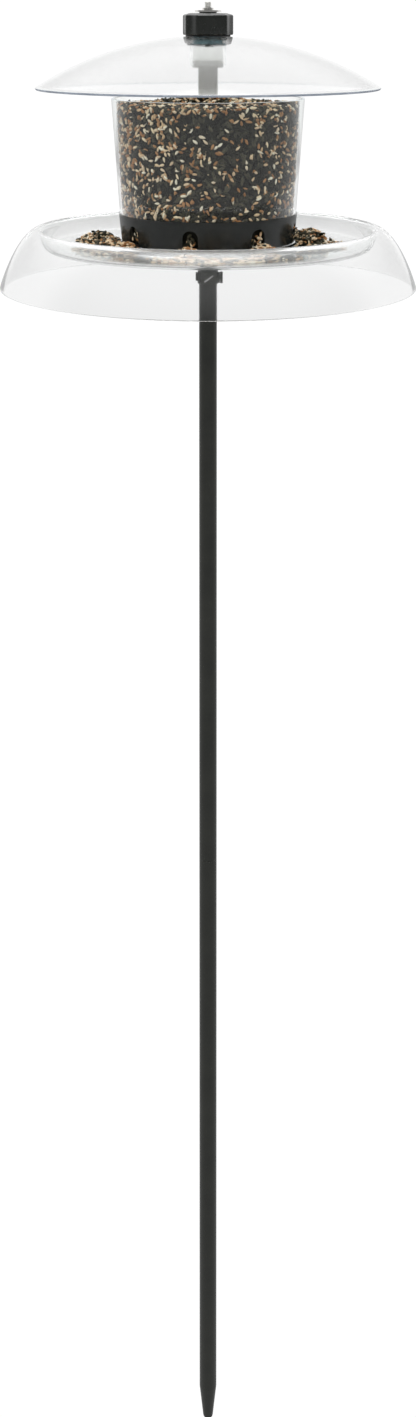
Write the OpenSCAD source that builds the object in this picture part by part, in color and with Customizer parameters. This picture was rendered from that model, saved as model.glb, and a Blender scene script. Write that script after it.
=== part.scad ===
// Pole-mounted bird feeder: a clear seed hopper under a clear domed roof, on a clear dished tray
// that turns on top of a two-piece steel pole. Millimetres, +Z up, origin at the pole's tip.

/* [Pole] */
// Outside diameter of the pole tube
pole_d = 16.5; // [14:0.5:18]
// Wall of the pole tube
pole_wall = 1.2; // [1:0.1:1.6]
// Height of the pole's top end above its tip
pole_h = 1165; // [900:10:1500]
// Length of the crimped taper at the tip
tip_taper_h = 30; // [25:1:50]
// Radius of the rounded tip
tip_r = 4.9; // [3.5:0.1:5.5]
// Length of the swaged spigot that joins the two pole sections
spigot_h = 60; // [40:5:90]

/* [Tray] */
// Outside diameter of the tray's skirt
tray_d = 384; // [340:1:400]
// Radius of the flat floor of the dish
dish_floor_r = 144.5; // [138:0.5:146]
// Drop from the raised deck in the middle to the dish's floor
dish_drop = 4; // [3:0.5:6]
// Height of the dish's rim above the deck
dish_rim_h = 12.3; // [11:0.1:15]
// Drop of the skirt's edge below the deck
skirt_drop = 41; // [36:0.5:48]
// Wall of the clear tray
tray_wall = 3; // [2.5:0.1:3.5]

/* [Hopper] */
// Height of the black port ring
base_h = 26.4; // [24:0.2:34]
// Outside radius of the port ring at its foot
base_foot_r = 79.4; // [78:0.2:80]
// Outside radius of the port ring at its top edge
base_top_r = 82.2; // [82:0.1:83]
// Number of seed ports
port_count = 8; // [6:1:10]
// Width of a seed port
port_w = 14; // [12:0.1:18]
// Height of a seed port
port_h = 15.4; // [12:0.1:18]
// Height of the hopper's top edge above the tray's deck
hopper_top_h = 131.6; // [120:0.2:145]
// Outside radius of the hopper at its top edge
hopper_top_r = 88.8; // [87:0.2:92]
// Wall of the clear hopper
hopper_wall = 2.5; // [2:0.1:3]
// Height above the deck of the seed where it meets the hopper's wall
seed_h = 125.7; // [80:0.5:127]

/* [Roof] */
// Outside diameter of the domed roof
roof_d = 317; // [290:1:340]
// Radius of the dome's sphere
dome_r = 290; // [275:0.5:320]
// Height of the roof's top face above the tray's deck
roof_top_h = 188; // [180:0.2:200]
// Wall of the clear roof
roof_wall = 2.5; // [2:0.1:3]
// Outside radius of the moulded neck under the roof
neck_r = 16.5; // [16:0.1:18]

/* [Knob and rod] */
// Diameter of the threaded tie rod
rod_d = 6.35; // [6:0.05:6.4]
// Height of the rod's top end above the tray's deck
rod_top_h = 219.6; // [218:0.1:230]
// Outside diameter of the fluted knob
knob_d = 46.4; // [42:0.2:50]
// Number of flutes round the knob
flute_count = 10; // [8:1:12]

/* [Hidden] */
$fn = 96;

eps = 0.01;              // overrun of a cutting solid
run_gap = 0.05;          // radial clearance of a running fit
clear_gap = 0.35;        // gap between faces that only pass each other

// Pole
pole_r = pole_d / 2;
tube_r = pole_r - pole_wall;             // inside radius of the pole tube
joint_z = pole_h / 2;                    // where the two pole sections meet
tube_chamfer = 0.4;                      // on the tubes' edges where the sections meet
spigot_r = tube_r - run_gap;
spigot_wall = 1.2;
tip_steps = 6;                           // cones in the rounded tip
tip_solid_h = 4;                         // solid metal above the tip's taper
plug_h = 34;                             // depth of the plug inside the pole's top end
plug_cap_h = 1.2;                        // thickness of the plug's head on top of the tube
plug_cap_r = pole_r - 0.4;

// Heights of the head, all from the tray's deck, which the port ring stands on
head_rise = 15;                          // deck above the pole's top end
deck_z = pole_h + head_rise;
socket_flange_r = 29;
socket_flange_h = 4;
gasket_h = 1.2;
gasket_z = deck_z - tray_wall - gasket_h;
flange_z = gasket_z - socket_flange_h;
sleeve_r = 9.6;                          // outside radius of the socket's sleeve and of the collar
sleeve_bore_r = pole_r + run_gap;
sleeve_bottom_z = deck_z - 26.6;
flare_r = 17;                            // radius of the flare under the socket's flange
flare_h = 11;

// Clamp collar, its screw and pad
collar_top_z = sleeve_bottom_z - 0.2;
collar_h = 12.9;
collar_z = collar_top_z - collar_h;
collar_slope_h = 1.8;
collar_slope_in = 0.5;                   // how far the collar's top slopes in
liner_r = 8.75;                          // outside radius of the steel liner in the collar
screw_z = collar_z + (collar_h - collar_slope_h) / 2;
screw_r = 2;
screw_clear_r = screw_r + run_gap;
boss_r = 5.2;
boss_out_x = 11;                         // outer face of the screw boss
stud_out_x = 11.4;                       // outer face of the fixed boss on the other side
stud_h = 7.4;
stud_w = 8;
stud_z = collar_top_z - collar_slope_h - stud_h - 0.9;
screw_head_r = 5.65;
screw_head_h = 2.4;
screw_gap = 0.2;                         // between the boss and the tightened screw's head
pad_h = 0.9;
pad_x = pole_r + 0.1;                    // inner face of the pad
slot_w = 1.6;
slot_l = 11;
slot_tilt = 35;
slot_x = 0.8;                            // the slanted slot's centre, sideways
slot_drop = 0.4;                         // and below the screw's axis
slot_depth = 6;
split_w = 1.4;
split_angle = 46;                        // the collar's split, from the front towards -X

// Tray
skirt_r = tray_d / 2;
deck_r = base_foot_r + 1.4;              // edge of the raised deck
dish_wall_r = dish_floor_r + 6.5;        // radius where the dish's wall meets its rim
rim_crest_r = dish_floor_r + 11.5;
rim_round_h = 4.6;                       // height of the rim's inner rounding
hub_hole_r = rod_d / 2 + 0.4;

// Port ring and hopper
base_wall = 3.4;
base_plate_h = 2.4;
port_sill = 0.6;
port_arch_steps = 12;                    // flats in a port's arch
port_phase = -11.3;                      // first port, from the front towards +X
seat_z = base_h - 4.4;                   // ledge that the hopper stands on
seat_wall = 0.9;                         // rim outside the hopper
hopper_base_r = base_top_r - seat_wall - 0.2;   // outside radius of the hopper at the ring's top edge
hopper_slope = (hopper_top_r - hopper_base_r) / (hopper_top_h - base_h);
hopper_foot_r = hopper_base_r - hopper_slope * (base_h - seat_z);
seat_play = 0.15;                        // round the hopper's foot
ledge_w = 0.9;                           // of the ledge inside the hopper's wall
hub_r = 12;
hub_h = 18;                              // hub under the cone
deflector_wall = 2;
deflector_foot_r = 71;
deflector_h = 32;                        // height of the cone's top above the deck
deflector_top_z = deck_z + deflector_h;
deflector_foot_z = deck_z + base_plate_h;
deflector_foot_w = deflector_wall * 2.2; // the sloping wall, measured level at its foot

// Centre tube, its collar and the bush in the roof's neck
center_r = 8.9;
center_bore_r = 6.9;
tube_top_z = deck_z + 159.6;
tube_collar_r = 14.15;
tube_collar_h = 6.2;
bush_r = 14;
bush_z = tube_top_z + tube_collar_h;
bush_h = 12.8;
bush_groove_r = 12.6;
bush_groove_h = 0.9;
rod_r = rod_d / 2;
rod_hole_r = rod_r + 0.15;
rod_bottom_z = deck_z - 44;
nut_flats = 11.1;
nut_h = 4;
nut_washer_r = 7.6;
nut_washer_h = 1.2;

// Roof
roof_r = roof_d / 2;
roof_z = deck_z + roof_top_h;
dome_z = roof_z - dome_r + 0.9;          // centre of the dome's sphere
seat_r = sqrt(pow(dome_r, 2) - pow(roof_z - dome_z, 2));   // flat seat on top of the dome
neck_bottom_z = deck_z + 161.4;
neck_wall = neck_r - tube_collar_r - clear_gap;
web_z = bush_z + bush_h;                 // web across the neck, which rests on the bush
web_h = 2.2;
pocket_r = neck_r - neck_wall - 1;       // pocket in the neck, between the web and the dome's top
pocket_h = roof_z - roof_wall - web_z - web_h;
seal_top_gap = 0.4;                      // between the seal in the pocket and the dome's top

// Knob, its washer and its steel tee nut
knob_washer_r = 20.5;
knob_washer_h = 1.2;
knob_z = roof_z + knob_washer_h;
knob_r = knob_d / 2;
knob_side_top_z = deck_z + 207;
knob_top_z = deck_z + 209.2;
knob_bore_r = 5.4;
knob_edge = 1;                           // chamfer at the knob's lower edge
barrel_z = knob_z + 4;                   // lower end of the tee nut's barrel
flute_r = 14;
flute_depth = 1.3;
flute_phase = 11;                        // first ridge, from the front towards +X
tee_flange_r = 12.2;
tee_flange_h = 1.7;
tee_neck_r = 8;                          // black ring that lifts the flange off the knob's top
tee_neck_h = 0.9;
tee_hub_r = 5.3;
tee_hub_h = 2.2;
tee_bore_r = rod_r + 0.06;

// Seed: heaps on the dish as [angle from the front towards +X, distance out, foot radius, height]
seed_gap = 1.2;                          // between the seed and the clear wall
seed_play = 1;                           // between the seed and the pieces it lies on
tube_play = 0.4;                         // between the seed and the centre tube
heap_rise = 9;                           // how much higher the seed stands at the centre tube
heap_steps = 6;
seed_heaps = [
    [-101, 104, 20, 10], [-82, 106, 19, 9.5], [-62, 99, 17, 10.5],
    [-11.3, 86, 10, 8], [33.7, 87, 11, 8.5],
    [78.7, 94, 17, 17], [100, 95, 14, 11],
    [123.7, 92, 14, 10], [168.7, 90, 13, 9], [-146.3, 92, 14, 10]
];
trickle = [88, 114, 14, 2.6];            // stray seed further out beside the tall heap

// Points on a circle arc in the profile plane, from angle a to angle b
function arc(cx, cz, r, a, b, n) =
    [for (i = [0:n]) let (t = a + (b - a) * i / n) [cx + r * cos(t), cz + r * sin(t)]];

// Points on a cubic curve with four control points
function cubic(p, n, first) =
    [for (i = [first:n]) let (t = i / n, s = 1 - t)
        s * s * s * p[0] + 3 * s * s * t * p[1] + 3 * s * t * t * p[2] + t * t * t * p[3]];

// Unit normal to the left of a path at point i
function left_normal(path, i) =
    let (a = path[max(i - 1, 0)], b = path[min(i + 1, len(path) - 1)], d = b - a)
    [-d[1], d[0]] / norm(d);

// A path thickened to the right, as one closed outline
function thick(path, wall) = concat(
    path,
    [for (i = [len(path) - 1:-1:0]) path[i] - wall * left_normal(path, i)]);

// Turns a shape to an angle from the front (-Y) towards +X, with +X of the shape pointing out
module from_front(angle) {
    rotate([0, 0, angle - 90])
        children();
}

module ring(r_out, r_in, h) {
    difference() {
        cylinder(r = r_out, h = h);
        translate([0, 0, -1])
            cylinder(r = r_in, h = h + 2);
    }
}

module hex(flats, h) {
    cylinder(r = flats / 2 / cos(30), h = h, $fn = 6);
}

// ---- Pole ----

// Tapers to a closed rounded tip and carries the swaged spigot for the upper section
module pole_lower() {
    color([0.17, 0.18, 0.15])
    difference() {
        union() {
            rotate_extrude()
                polygon(concat([[0, 0]],
                    arc(0, tip_r, tip_r, -90 + 90 / tip_steps, 0, tip_steps - 1),
                    [[pole_r, tip_r + tip_taper_h], [pole_r, joint_z - tube_chamfer],
                     [pole_r - tube_chamfer, joint_z], [0, joint_z]]));
            translate([0, 0, joint_z - eps])
                cylinder(r = spigot_r, h = spigot_h + eps);
        }
        translate([0, 0, tip_r + tip_taper_h + tip_solid_h])
            cylinder(r = tube_r - spigot_wall, h = joint_z + spigot_h);
    }
}

module pole_upper() {
    color([0.17, 0.18, 0.15])
    rotate_extrude()
        polygon([[tube_r, joint_z], [pole_r - tube_chamfer, joint_z],
                 [pole_r, joint_z + tube_chamfer], [pole_r, pole_h], [tube_r, pole_h]]);
}

// Closes the pole's top end and guides the foot of the tie rod
module pole_plug() {
    color([0.08, 0.08, 0.08])
    difference() {
        union() {
            translate([0, 0, pole_h - plug_h])
                cylinder(r = tube_r, h = plug_h);
            translate([0, 0, pole_h])
                cylinder(r = plug_cap_r, h = plug_cap_h);
        }
        translate([0, 0, pole_h - plug_h - 1])
            cylinder(r = rod_r + run_gap, h = plug_h + plug_cap_h + 2);
    }
}

// ---- Clamp under the head ----

module clamp_collar() {
    color([0.13, 0.14, 0.12])
    difference() {
        union() {
            translate([0, 0, collar_z])
                cylinder(r = sleeve_r, h = collar_h - collar_slope_h);
            translate([0, 0, collar_top_z - collar_slope_h])
                cylinder(r1 = sleeve_r, r2 = sleeve_r - collar_slope_in, h = collar_slope_h);
            translate([0, 0, screw_z])
                rotate([0, 90, 0])
                    cylinder(r = boss_r, h = boss_out_x);
            translate([-stud_out_x, -stud_w / 2, stud_z])
                cube([stud_out_x, stud_w, stud_h]);
        }
        translate([0, 0, collar_z - 1])
            cylinder(r = liner_r, h = collar_h + 2);
        translate([0, 0, screw_z])
            rotate([0, 90, 0])
                cylinder(r = screw_clear_r, h = boss_out_x + 1);
        translate([slot_x, -sleeve_r, screw_z - slot_drop])
            rotate([0, -slot_tilt, 0])
                cube([slot_l, slot_depth, slot_w], center = true);
        from_front(-split_angle)
            translate([0, -split_w / 2, collar_z - 1])
                cube([sleeve_r + 1, split_w, collar_h + 2]);
    }
}

// Thin bright liner that the collar grips the pole with, seen through the collar's slanted slot
module collar_liner() {
    color([0.78, 0.78, 0.76])
    difference() {
        translate([0, 0, collar_z])
            ring(liner_r, pole_r + run_gap, collar_h);
        translate([0, 0, screw_z])
            rotate([0, 90, 0])
                cylinder(r = screw_clear_r, h = boss_out_x);
    }
}

// Small pad between the screw's end and the pole
module clamp_pad() {
    color([0.85, 0.83, 0.78])
    translate([pad_x, 0, screw_z])
        rotate([0, 90, 0])
            cylinder(r = screw_r, h = pad_h);
}

module clamp_screw() {
    color([0.13, 0.14, 0.12])
    translate([0, 0, screw_z])
        rotate([0, 90, 0])
            union() {
                translate([0, 0, pad_x + pad_h])
                    cylinder(r = screw_r, h = boss_out_x + screw_gap - pad_x - pad_h + eps);
                translate([0, 0, boss_out_x + screw_gap])
                    cylinder(r = screw_head_r, h = screw_head_h);
            }
}

// ---- Head ----

// Flanged sleeve that turns and lifts off on the pole's top end
module pole_socket() {
    color([0.1, 0.1, 0.1])
    difference() {
        union() {
            translate([0, 0, flange_z])
                cylinder(r = socket_flange_r, h = socket_flange_h);
            translate([0, 0, flange_z - flare_h])
                cylinder(r1 = sleeve_r, r2 = flare_r, h = flare_h);
            translate([0, 0, sleeve_bottom_z])
                cylinder(r = sleeve_r, h = flange_z - sleeve_bottom_z);
        }
        translate([0, 0, sleeve_bottom_z - 1])
            cylinder(r = sleeve_bore_r, h = flange_z - sleeve_bottom_z + 1);
        translate([0, 0, flange_z - 1])
            cylinder(r = rod_hole_r, h = socket_flange_h + 2);
    }
}

module socket_gasket() {
    color([0.07, 0.07, 0.07])
    translate([0, 0, gasket_z])
        ring(socket_flange_r, rod_hole_r, gasket_h);
}

// Dish round a raised deck, with a rim that turns over into a wide sloping skirt
module tray() {
    floor_h = -dish_drop;
    under_h = -dish_drop - tray_wall;
    rim = concat(
        [[deck_r + 1, floor_h], [dish_floor_r, floor_h]],
        cubic([[dish_floor_r, floor_h], [dish_floor_r + 4, floor_h],
               [dish_wall_r - 0.8, dish_rim_h - 10], [dish_wall_r, dish_rim_h - rim_round_h]], 10, 1),
        cubic([[dish_wall_r, dish_rim_h - rim_round_h], [dish_wall_r + 0.3, dish_rim_h - 2.2],
               [rim_crest_r - 2.6, dish_rim_h], [rim_crest_r, dish_rim_h]], 6, 1),
        cubic([[rim_crest_r, dish_rim_h], [rim_crest_r + 12, dish_rim_h],
               [skirt_r - 9, -12], [skirt_r, -skirt_drop]], 20, 1));
    color([0.93, 0.95, 0.95, 0.35])
    translate([0, 0, deck_z])
        rotate_extrude()
            polygon(concat(
                [[hub_hole_r, 0], [deck_r, 0]],
                thick(rim, tray_wall),
                [[deck_r - 1.5, under_h], [deck_r - 2.5, -tray_wall], [hub_hole_r, -tray_wall]]));
}

// One arched opening through the port ring's wall
module port_cut() {
    spring_h = port_h - port_w / 2;
    arch = [for (i = [0:port_arch_steps]) let (t = 180 * i / port_arch_steps)
        [port_w / 2 * cos(t), spring_h + port_w / 2 * sin(t)]];
    translate([base_foot_r - base_wall - 4, 0, base_plate_h + port_sill])
        rotate([90, 0, 90])
            linear_extrude(height = base_wall + 8)
                polygon(concat([[-port_w / 2, 0], [port_w / 2, 0]], arch));
}

module port_base() {
    ledge_in_r = hopper_foot_r - hopper_wall - 0.2 - ledge_w;
    color([0.07, 0.07, 0.07])
    translate([0, 0, deck_z])
        difference() {
            rotate_extrude()
                polygon([
                    [rod_hole_r, 0], [base_foot_r, 0], [base_top_r, base_h],
                    [base_top_r - seat_wall, base_h],
                    [hopper_foot_r + seat_play, seat_z], [ledge_in_r, seat_z],
                    [base_foot_r - base_wall, base_plate_h], [hub_r, base_plate_h],
                    [hub_r, hub_h], [rod_hole_r, hub_h]]);
            for (i = [0:port_count - 1])
                from_front(port_phase + i * 360 / port_count)
                    port_cut();
        }
}

// Hollow cone that sheds the seed outwards to the ports
module seed_deflector() {
    color([0.09, 0.09, 0.09])
    rotate_extrude()
        polygon([
            [deflector_foot_r, deflector_foot_z], [hub_r, deflector_top_z],
            [rod_hole_r, deflector_top_z], [rod_hole_r, deflector_top_z - deflector_wall],
            [hub_r - 1, deflector_top_z - deflector_wall],
            [deflector_foot_r - deflector_foot_w, deflector_foot_z]]);
}

// Open-ended clear sleeve, wider at the top
module hopper() {
    color([0.93, 0.95, 0.95, 0.35])
    translate([0, 0, deck_z])
        rotate_extrude()
            polygon([
                [hopper_foot_r, seat_z], [hopper_top_r, hopper_top_h],
                [hopper_top_r - hopper_wall, hopper_top_h], [hopper_foot_r - hopper_wall, seat_z]]);
}

module center_tube() {
    color([0.58, 0.59, 0.55])
    translate([0, 0, deflector_top_z])
        ring(center_r, center_bore_r, tube_top_z - deflector_top_z);
}

// Runs through the whole head and holds it together
module tie_rod() {
    color([0.7, 0.7, 0.68])
    translate([0, 0, rod_bottom_z])
        cylinder(r = rod_r, h = deck_z + rod_top_h - rod_bottom_z);
}

module bottom_nut() {
    color([0.72, 0.72, 0.7])
    translate([0, 0, flange_z - nut_washer_h - nut_h])
        difference() {
            hex(nut_flats, nut_h);
            translate([0, 0, -1])
                cylinder(r = rod_r, h = nut_h + 2);
        }
}

module bottom_washer() {
    color([0.75, 0.75, 0.73])
    translate([0, 0, flange_z - nut_washer_h])
        ring(nut_washer_r, rod_hole_r, nut_washer_h);
}

module tube_collar() {
    color([0.55, 0.56, 0.53])
    translate([0, 0, tube_top_z])
        ring(tube_collar_r, rod_hole_r, tube_collar_h);
}

// Pale bush that the roof's neck slides down over
module neck_bush() {
    color([0.86, 0.86, 0.83])
    translate([0, 0, bush_z])
        difference() {
            union() {
                cylinder(r = bush_groove_r, h = bush_groove_h + eps);
                translate([0, 0, bush_groove_h])
                    cylinder(r = bush_r, h = bush_h - bush_groove_h);
            }
            translate([0, 0, -1])
                cylinder(r = rod_hole_r, h = bush_h + 2);
        }
}

// ---- Roof ----

module roof() {
    inner_r = dome_r - roof_wall;
    in_neck_r = neck_r - neck_wall;
    rim_a = acos(roof_r / dome_r);
    neck_a = acos(neck_r / inner_r);
    seat_a = acos(seat_r / dome_r);
    color([0.93, 0.95, 0.95, 0.35])
    difference() {
        rotate_extrude()
            polygon(concat(
                [[0, roof_z]],
                arc(0, dome_z, dome_r, seat_a, rim_a, 28),
                arc(0, dome_z, inner_r, rim_a, neck_a, 28),
                [[neck_r, neck_bottom_z], [in_neck_r, neck_bottom_z], [in_neck_r, web_z],
                 [0, web_z]]));
        translate([0, 0, web_z - 1])
            cylinder(r = rod_r + clear_gap, h = roof_z - web_z + 2);
        translate([0, 0, web_z + web_h])
            cylinder(r = pocket_r, h = pocket_h);
    }
}

// Dark foam ring in the neck's pocket, which keeps rain from running down the rod
module neck_seal() {
    color([0.13, 0.2, 0.22])
    translate([0, 0, web_z + web_h])
        ring(pocket_r, rod_r + clear_gap, pocket_h - seal_top_gap);
}

// ---- Knob ----

module knob_washer() {
    color([0.12, 0.13, 0.14])
    translate([0, 0, roof_z])
        ring(knob_washer_r, rod_r + clear_gap, knob_washer_h);
}

module roof_knob() {
    color([0.09, 0.09, 0.1])
    difference() {
        rotate_extrude()
            polygon([
                [knob_bore_r, knob_z], [knob_r - knob_edge, knob_z], [knob_r, knob_z + knob_edge],
                [knob_r, knob_side_top_z], [knob_r - 0.8, knob_side_top_z + 0.7],
                [knob_r - 6, knob_top_z], [tee_neck_r, knob_top_z],
                [tee_neck_r, knob_top_z + tee_neck_h], [knob_bore_r, knob_top_z + tee_neck_h]]);
        for (i = [0:flute_count - 1])
            from_front(flute_phase + (i + 0.5) * 360 / flute_count)
                translate([knob_r + flute_r - flute_depth, 0, knob_z - 1])
                    cylinder(r = flute_r, h = knob_top_z - knob_z + 2);
    }
}

// Steel tee nut pressed into the knob: flange and hub above, threaded barrel inside
module knob_tee_nut() {
    flange_bottom_z = knob_top_z + tee_neck_h;
    color([0.78, 0.78, 0.77])
    difference() {
        union() {
            translate([0, 0, barrel_z])
                cylinder(r = knob_bore_r, h = flange_bottom_z - barrel_z + eps);
            translate([0, 0, flange_bottom_z])
                cylinder(r = tee_flange_r, h = tee_flange_h);
            translate([0, 0, flange_bottom_z + tee_flange_h - eps])
                cylinder(r = tee_hub_r, h = tee_hub_h + eps);
        }
        translate([0, 0, knob_z])
            cylinder(r = tee_bore_r, h = rod_top_h);
    }
}

// ---- Seed ----

// Seed standing in the hopper, heaped round the centre tube
module seed_fill() {
    wall_gap = hopper_wall + seed_gap;
    top_r = hopper_foot_r + hopper_slope * (seed_h - seat_z) - wall_gap;
    tube_side_r = center_r + tube_play;
    cone_top_h = deflector_h + seed_play;
    color([0.33, 0.28, 0.2])
    translate([0, 0, deck_z])
        rotate_extrude()
            polygon(concat(
                [[base_foot_r - base_wall - seed_gap, base_plate_h + seed_play],
                 [hopper_foot_r - wall_gap - 0.8, seat_z], [top_r, seed_h]],
                [for (i = [1:heap_steps]) let (t = i / heap_steps)
                    [top_r + (tube_side_r - top_r) * t, seed_h + heap_rise * t * t]],
                [[tube_side_r, cone_top_h], [hub_r + 0.6, cone_top_h],
                 [deflector_foot_r + 1.6, base_plate_h + seed_play]]));
}

// One heap on the dish: the part of a sphere above the floor, outside the port ring
module heap(h) {
    ball_r = (pow(h[2], 2) + pow(h[3], 2)) / (2 * h[3]);
    from_front(h[0])
        translate([h[1], 0, h[3] - ball_r - dish_drop])
            sphere(r = ball_r);
}

module tray_seed() {
    color([0.4, 0.33, 0.24])
    translate([0, 0, deck_z])
        difference() {
            intersection() {
                union() {
                    for (h = seed_heaps)
                        heap(h);
                    heap(trickle);
                }
                translate([0, 0, 0.02 - dish_drop])
                    cylinder(r = dish_floor_r, h = 30);
            }
            translate([0, 0, -dish_drop])
                cylinder(r = deck_r + 1.2, h = dish_drop);
            translate([0, 0, -eps])
                cylinder(r1 = deck_r + 1.2, r2 = base_top_r + 0.9, h = base_h);
        }
}

pole_lower();
pole_upper();
pole_plug();
clamp_collar();
collar_liner();
clamp_pad();
clamp_screw();
pole_socket();
socket_gasket();
tray();
port_base();
seed_deflector();
hopper();
center_tube();
tie_rod();
bottom_nut();
bottom_washer();
tube_collar();
neck_bush();
roof();
neck_seal();
knob_washer();
roof_knob();
knob_tee_nut();
seed_fill();
tray_seed();
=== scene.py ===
"""Looks of the pole-mounted bird feeder: clear roof, hopper and tray, mixed seed, black knob and port
ring, and a dark enamelled pole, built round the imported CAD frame. Metres, +Z up."""

import math

import bmesh
import bpy
import numpy as np
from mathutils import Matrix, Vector


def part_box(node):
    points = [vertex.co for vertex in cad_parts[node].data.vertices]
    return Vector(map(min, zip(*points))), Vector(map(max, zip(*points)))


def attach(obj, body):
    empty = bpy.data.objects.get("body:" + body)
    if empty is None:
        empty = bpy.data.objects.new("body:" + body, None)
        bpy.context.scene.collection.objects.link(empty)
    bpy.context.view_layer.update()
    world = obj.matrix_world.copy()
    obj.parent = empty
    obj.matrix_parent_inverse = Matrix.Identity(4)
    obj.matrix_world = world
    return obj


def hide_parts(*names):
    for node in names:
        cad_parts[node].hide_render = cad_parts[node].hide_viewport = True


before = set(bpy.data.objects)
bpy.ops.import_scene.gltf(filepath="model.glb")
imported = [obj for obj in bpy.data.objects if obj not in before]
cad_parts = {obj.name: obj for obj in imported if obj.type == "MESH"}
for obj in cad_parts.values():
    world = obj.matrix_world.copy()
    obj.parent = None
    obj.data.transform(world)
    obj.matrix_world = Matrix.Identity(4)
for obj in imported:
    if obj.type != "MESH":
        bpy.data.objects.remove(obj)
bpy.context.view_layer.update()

# ---- Sizes: boxes from the frame, and what is worked out from them ----

MM = 0.001
TRAY_LOW, TRAY_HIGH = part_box("tray")
BASE_LOW, BASE_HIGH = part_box("port_base")
HOPPER_LOW, HOPPER_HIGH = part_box("hopper")
KNOB_LOW, KNOB_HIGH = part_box("roof_knob")
ROD_LOW, ROD_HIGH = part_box("tie_rod")
ROOF_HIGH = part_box("roof")[1]
SEED_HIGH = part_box("seed_fill")[1]
BUSH_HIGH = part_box("neck_bush")[1]

ROUND = 256  # segments round a clear shell
DECK_Z = BASE_LOW[2]  # top of the tray's raised deck, which the port ring stands on
DISH_Z = DECK_Z - 4 * MM  # floor of the dish round the deck
DECK_R, DISH_R = 80.8 * MM, 144.5 * MM  # edges of the deck and of the dish's floor
CREST_R = 156 * MM  # top of the tray's rim, where it turns over into the skirt
HOPPER_FOOT_R, HOPPER_WALL = 80.9 * MM, 2.5 * MM
SEAT_Z = HOPPER_LOW[2]  # the hopper's foot
PLATE_TOP = DECK_Z + 3.6 * MM  # top of the port ring's floor
SEED_WALL_TOP = DECK_Z + 125.7 * MM  # level of the seed at the hopper's wall
HEAP_RISE = SEED_HIGH[2] - SEED_WALL_TOP
PORTS, FIRST_PORT = 8, -11.3  # the ports' number, and the first one's angle from the front in degrees


# ---- Mesh helpers ----


def rounded(points, radius, steps=4):
    """A closed outline with each corner sharper than 20 degrees rounded off."""
    out = []
    n = len(points)
    for i in range(n):
        a, b, c = (Vector(points[(i + k) % n]) for k in (-1, 0, 1))
        into, away = a - b, c - b
        turn = math.pi - into.angle(away, math.pi)
        if turn < math.radians(20):
            out.append(tuple(b))
            continue
        half = (math.pi - turn) / 2
        back = min(radius / math.tan(half), 0.45 * into.length, 0.45 * away.length)
        start, end = b + into.normalized() * back, b + away.normalized() * back
        for k in range(steps + 1):
            t = k / steps
            out.append(tuple(start * (1 - t) ** 2 + b * 2 * t * (1 - t) + end * t**2))
    return out


def bezier(p, count):
    """Points on a cubic curve with four control points, without its start."""
    out = []
    for i in range(1, count + 1):
        t = i / count
        s = 1 - t
        w = (s**3, 3 * s * s * t, 3 * s * t * t, t**3)
        out.append(tuple(sum(wk * pk[d] for wk, pk in zip(w, p)) for d in (0, 1)))
    return out


def thick(path, wall):
    """A path thickened to its right, as one closed outline."""
    back = []
    for i in range(len(path)):
        a, b = Vector(path[max(i - 1, 0)]), Vector(path[min(i + 1, len(path) - 1)])
        d = (b - a).normalized()
        back.append((path[i][0] + d.y * wall, path[i][1] - d.x * wall))
    return list(path) + back[::-1]


def sharpen(mesh, angle=35):
    """Shades a mesh smooth, apart from edges sharper than the angle."""
    bm = bmesh.new()
    bm.from_mesh(mesh)
    bmesh.ops.recalc_face_normals(bm, faces=bm.faces)
    for edge in bm.edges:
        edge.smooth = edge.calc_face_angle(0.0) < math.radians(angle)
    for face in bm.faces:
        face.smooth = True
    bm.to_mesh(mesh)
    bm.free()


def add_piece(name, mesh, body, material, replaces=None):
    """A mesh as a new piece that rides on a body and takes its finish from a slot."""
    piece = bpy.data.objects.new(name, mesh)
    bpy.context.scene.collection.objects.link(piece)
    mesh.materials.append(material)
    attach(piece, body)
    if replaces:
        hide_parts(replaces)
    return piece


def add_object(name, verts, faces, body, material, replaces, angle=35):
    """A new piece from vertices and faces, smooth apart from edges sharper than the angle."""
    mesh = bpy.data.meshes.new(name)
    mesh.from_pydata(verts, [], faces)
    sharpen(mesh, angle)
    return add_piece(name, mesh, body, material, replaces)


def finish_edge(shell, way, least_r, material):
    """Gives the faces of a shell that point along (outward, up), beyond a radius, the cut edge's finish,
    whose colour is painted light or shade.
    """
    shell.data.materials.append(material)
    for face in shell.data.polygons:
        r = math.hypot(face.center.x, face.center.y)
        out = (face.normal.x * face.center.x + face.normal.y * face.center.y) / r
        if r > least_r and out * way[0] + face.normal.z * way[1] > 0.8:
            face.material_index = 1


def lathe(profile, segments):
    """Vertices and faces of a closed outline of (radius, height) points turned about the axis."""
    verts, faces = [], []
    n = len(profile)
    for j in range(segments):
        a = 2 * math.pi * j / segments
        verts += [(r * math.cos(a), r * math.sin(a), z) for r, z in profile]
    for j in range(segments):
        k = (j + 1) % segments
        for i in range(n):
            m = (i + 1) % n
            faces.append((j * n + i, k * n + i, k * n + m, j * n + m))
    return verts, faces


# ---- Materials ----

FIRST_WALL = 1.5  # a ray at a depth above this has turned at two faces, such as both sides of a clear wall
DEEP = 7.5  # a ray at a depth above this passes clear plastic straight and meets white
ACRYLIC_IOR = 1.49
LATER_TINT = (0.985, 0.985, 0.985)  # clear plastic beyond the first wall
OPEN_TINT = (0.93, 0.95, 0.945, 1)  # clear plastic to the rays that pass it straight


def adder(tree):
    """A function that adds a node to a tree, with links or values for its inputs."""

    def add(kind, inputs=None, **settings):
        node = tree.nodes.new(kind)
        for key, value in settings.items():
            setattr(node, key, value)
        for key, value in (inputs or {}).items():
            if isinstance(value, bpy.types.NodeSocket):
                tree.links.new(value, node.inputs[key])
            else:
                node.inputs[key].default_value = value
        return node

    return add


def new_material(name):
    """A material, its Principled shader, a function that adds linked nodes, and its links."""
    mat = bpy.data.materials.new(name)
    mat.use_nodes = True
    return mat, mat.node_tree.nodes["Principled BSDF"], adder(mat.node_tree), mat.node_tree.links


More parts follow.
